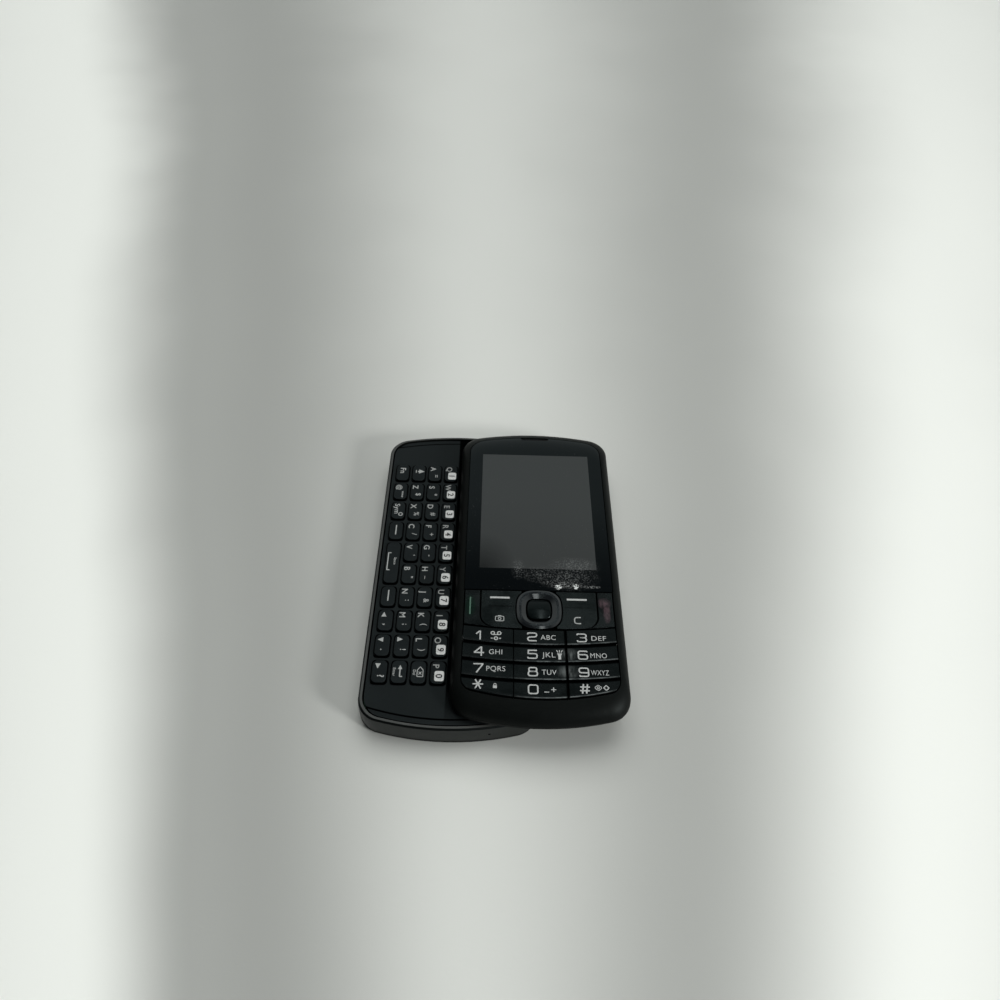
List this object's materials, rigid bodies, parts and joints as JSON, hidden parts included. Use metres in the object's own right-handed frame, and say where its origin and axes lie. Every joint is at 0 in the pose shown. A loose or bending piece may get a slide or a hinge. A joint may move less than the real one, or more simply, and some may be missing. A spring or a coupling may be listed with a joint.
{
  "type": "side-sliding keyboard phone",
  "caption": "Bar phone whose screen and number-key half slides sideways off a base with a full letter keyboard, stored open.",
  "frame": {"origin": "centre of the base's flat back, where the phone rests", "axes": "+Y along the length towards the earpiece end, +X the way the slider opens, +Z out of the display"},
  "size_m": [0.0783, 0.1152, 0.0163],
  "materials": {
    "gunmetal_band": "satin grey paint on the base's band",
    "deck_black": "fine matt keyboard deck",
    "back_black": "fine matt back",
    "battery_wrap": "plain wrap",
    "gold_contact": "plated",
    "steel_sheet": "pressed sheet",
    "circuit_board": "solder mask",
    "dome_sheet": "film",
    "silicone_mat": "silicone",
    "keyboard_key": "soft matt key caps",
    "black_plastic": "moulded",
    "window_glass": "polished window",
    "side_key": "satin",
    "slide_steel": "pressed steel",
    "flex_film": "polyimide film",
    "screw_steel": "blackened",
    "slider_black": "soft matt black",
    "display_grey": "dark unlit display",
    "front_key": "polished black key caps",
    "ring_gloss": "polished black"
  },
  "bodies": {
    "base": {"base_frame": "gunmetal_band", "keyboard_deck": "deck_black", "rear_housing": "back_black", "battery": "battery_wrap", "battery_contacts": "gold_contact", "sim_holder": "steel_sheet", "main_board": "circuit_board", "shield_cans": "steel_sheet", "qwerty_dome_sheet": "dome_sheet", "qwerty_keymat": "silicone_mat", "camera_module": "black_plastic", "camera_window": "window_glass", "loudspeaker": "black_plastic", "vibration_motor": "steel_sheet", "microphone": "steel_sheet", "antenna": "gold_contact", "headset_jack": "black_plastic", "usb_socket": "steel_sheet", "slide_rail_plate": "slide_steel", "base_screws": "screw_steel"},
    "slider": {"slider_front_housing": "slider_black", "slider_rear_housing": "slider_black", "moving_slide_plate": "slide_steel", "display_window": "window_glass", "display_module": "display_grey", "display_frame": "steel_sheet", "slider_board": "circuit_board", "keypad_dome_sheet": "dome_sheet", "keypad_mat": "silicone_mat", "earpiece": "black_plastic", "earpiece_mesh": "steel_sheet", "slider_screws": "screw_steel", "flex_cable": "flex_film", "slide_spring": "slide_steel"},
    "battery_door": {"battery_cover": "back_black"},
    "volume_button": {"volume_rocker": "side_key"},
    "camera_button": {"camera_key": "side_key"},
    "qwerty_top_row": {"qwerty_top_row_keys": "keyboard_key"},
    "qwerty_home_row": {"qwerty_home_row_keys": "keyboard_key"},
    "qwerty_lower_row": {"qwerty_lower_row_keys": "keyboard_key"},
    "qwerty_bottom_row": {"qwerty_bottom_row_keys": "keyboard_key"},
    "space_bar": {"space_key": "keyboard_key"},
    "call_button": {"call_key": "front_key"},
    "end_button": {"end_key": "front_key"},
    "ok_button": {"ok_key": "ring_gloss"},
    "button_1": {"key_1": "front_key"},
    "button_2": {"key_2": "front_key"},
    "button_3": {"key_3": "front_key"},
    "button_4": {"key_4": "front_key"},
    "button_5": {"key_5": "front_key"},
    "button_6": {"key_6": "front_key"},
    "button_7": {"key_7": "front_key"},
    "button_8": {"key_8": "front_key"},
    "button_9": {"key_9": "front_key"},
    "button_star": {"key_star": "front_key"},
    "button_0": {"key_0": "front_key"},
    "button_hash": {"key_hash": "front_key"},
    "left_function_rocker": {"left_function_key": "front_key"},
    "right_function_rocker": {"right_function_key": "front_key"},
    "navigation_rocker": {"navigation_ring": "ring_gloss"}
  },
  "joints": [
    {"name": "slider_slide", "type": "slide", "parent": "base", "child": "slider", "axis": [1, 0, 0], "range_m": [-0.0263, 0], "deforming": ["flex_cable", "slide_spring"]},
    {"name": "battery_cover_slide", "type": "slide", "parent": "base", "child": "battery_door", "axis": [0, -1, 0], "range_m": [0, 0.006]},
    {"name": "qwerty_top_row_press", "type": "slide", "parent": "base", "child": "qwerty_top_row", "axis": [0, 0, -1], "range_m": [0, 0.00025], "stiffness_N_per_m": 4000},
    {"name": "qwerty_home_row_press", "type": "slide", "parent": "base", "child": "qwerty_home_row", "axis": [0, 0, -1], "range_m": [0, 0.00025], "stiffness_N_per_m": 4000},
    {"name": "qwerty_lower_row_press", "type": "slide", "parent": "base", "child": "qwerty_lower_row", "axis": [0, 0, -1], "range_m": [0, 0.00025], "stiffness_N_per_m": 4000},
    {"name": "qwerty_bottom_row_press", "type": "slide", "parent": "base", "child": "qwerty_bottom_row", "axis": [0, 0, -1], "range_m": [0, 0.00025], "stiffness_N_per_m": 4000},
    {"name": "space_bar_press", "type": "slide", "parent": "base", "child": "space_bar", "axis": [0, 0, -1], "range_m": [0, 0.00025], "stiffness_N_per_m": 4000},
    {"name": "call_button_press", "type": "slide", "parent": "slider", "child": "call_button", "axis": [0, 0, -1], "range_m": [0, 0.00025], "stiffness_N_per_m": 4000},
    {"name": "end_button_press", "type": "slide", "parent": "slider", "child": "end_button", "axis": [0, 0, -1], "range_m": [0, 0.00025], "stiffness_N_per_m": 4000},
    {"name": "ok_button_press", "type": "slide", "parent": "slider", "child": "ok_button", "axis": [0, 0, -1], "range_m": [0, 0.00025], "stiffness_N_per_m": 4000},
    {"name": "button_1_press", "type": "slide", "parent": "slider", "child": "button_1", "axis": [0, 0, -1], "range_m": [0, 0.00025], "stiffness_N_per_m": 4000},
    {"name": "button_2_press", "type": "slide", "parent": "slider", "child": "button_2", "axis": [0, 0, -1], "range_m": [0, 0.00025], "stiffness_N_per_m": 4000},
    {"name": "button_3_press", "type": "slide", "parent": "slider", "child": "button_3", "axis": [0, 0, -1], "range_m": [0, 0.00025], "stiffness_N_per_m": 4000},
    {"name": "button_4_press", "type": "slide", "parent": "slider", "child": "button_4", "axis": [0, 0, -1], "range_m": [0, 0.00025], "stiffness_N_per_m": 4000},
    {"name": "button_5_press", "type": "slide", "parent": "slider", "child": "button_5", "axis": [0, 0, -1], "range_m": [0, 0.00025], "stiffness_N_per_m": 4000},
    {"name": "button_6_press", "type": "slide", "parent": "slider", "child": "button_6", "axis": [0, 0, -1], "range_m": [0, 0.00025], "stiffness_N_per_m": 4000},
    {"name": "button_7_press", "type": "slide", "parent": "slider", "child": "button_7", "axis": [0, 0, -1], "range_m": [0, 0.00025], "stiffness_N_per_m": 4000},
    {"name": "button_8_press", "type": "slide", "parent": "slider", "child": "button_8", "axis": [0, 0, -1], "range_m": [0, 0.00025], "stiffness_N_per_m": 4000},
    {"name": "button_9_press", "type": "slide", "parent": "slider", "child": "button_9", "axis": [0, 0, -1], "range_m": [0, 0.00025], "stiffness_N_per_m": 4000},
    {"name": "button_star_press", "type": "slide", "parent": "slider", "child": "button_star", "axis": [0, 0, -1], "range_m": [0, 0.00025], "stiffness_N_per_m": 4000},
    {"name": "button_0_press", "type": "slide", "parent": "slider", "child": "button_0", "axis": [0, 0, -1], "range_m": [0, 0.00025], "stiffness_N_per_m": 4000},
    {"name": "button_hash_press", "type": "slide", "parent": "slider", "child": "button_hash", "axis": [0, 0, -1], "range_m": [0, 0.00025], "stiffness_N_per_m": 4000},
    {"name": "left_function_rocker_tilt", "type": "hinge", "parent": "slider", "child": "left_function_rocker", "pos_m": [0.0142, -0.02125, 0.0141], "axis": [1, 0, 0], "range_deg": [-1.8, 1.8], "stiffness_Nm_per_rad": 0.15},
    {"name": "right_function_rocker_tilt", "type": "hinge", "parent": "slider", "child": "right_function_rocker", "pos_m": [0.0384, -0.02125, 0.0141], "axis": [1, 0, 0], "range_deg": [-1.8, 1.8], "stiffness_Nm_per_rad": 0.15},
    {"name": "navigation_rocker_tilt", "type": "hinge", "parent": "slider", "child": "navigation_rocker", "pos_m": [0.0263, -0.02125, 0.0141], "axis": [1, 0, 0], "range_deg": [-1.8, 1.8], "stiffness_Nm_per_rad": 0.15},
    {"name": "volume_rocker_tilt", "type": "hinge", "parent": "base", "child": "volume_button", "pos_m": [0.02365, 0.008, 0.00392], "axis": [0, 0, 1], "range_deg": [-2, 2], "stiffness_Nm_per_rad": 0.25},
    {"name": "camera_key_press", "type": "slide", "parent": "base", "child": "camera_button", "axis": [-1, 0, 0], "range_m": [0, 0.0004], "stiffness_N_per_m": 3000}
  ]
}
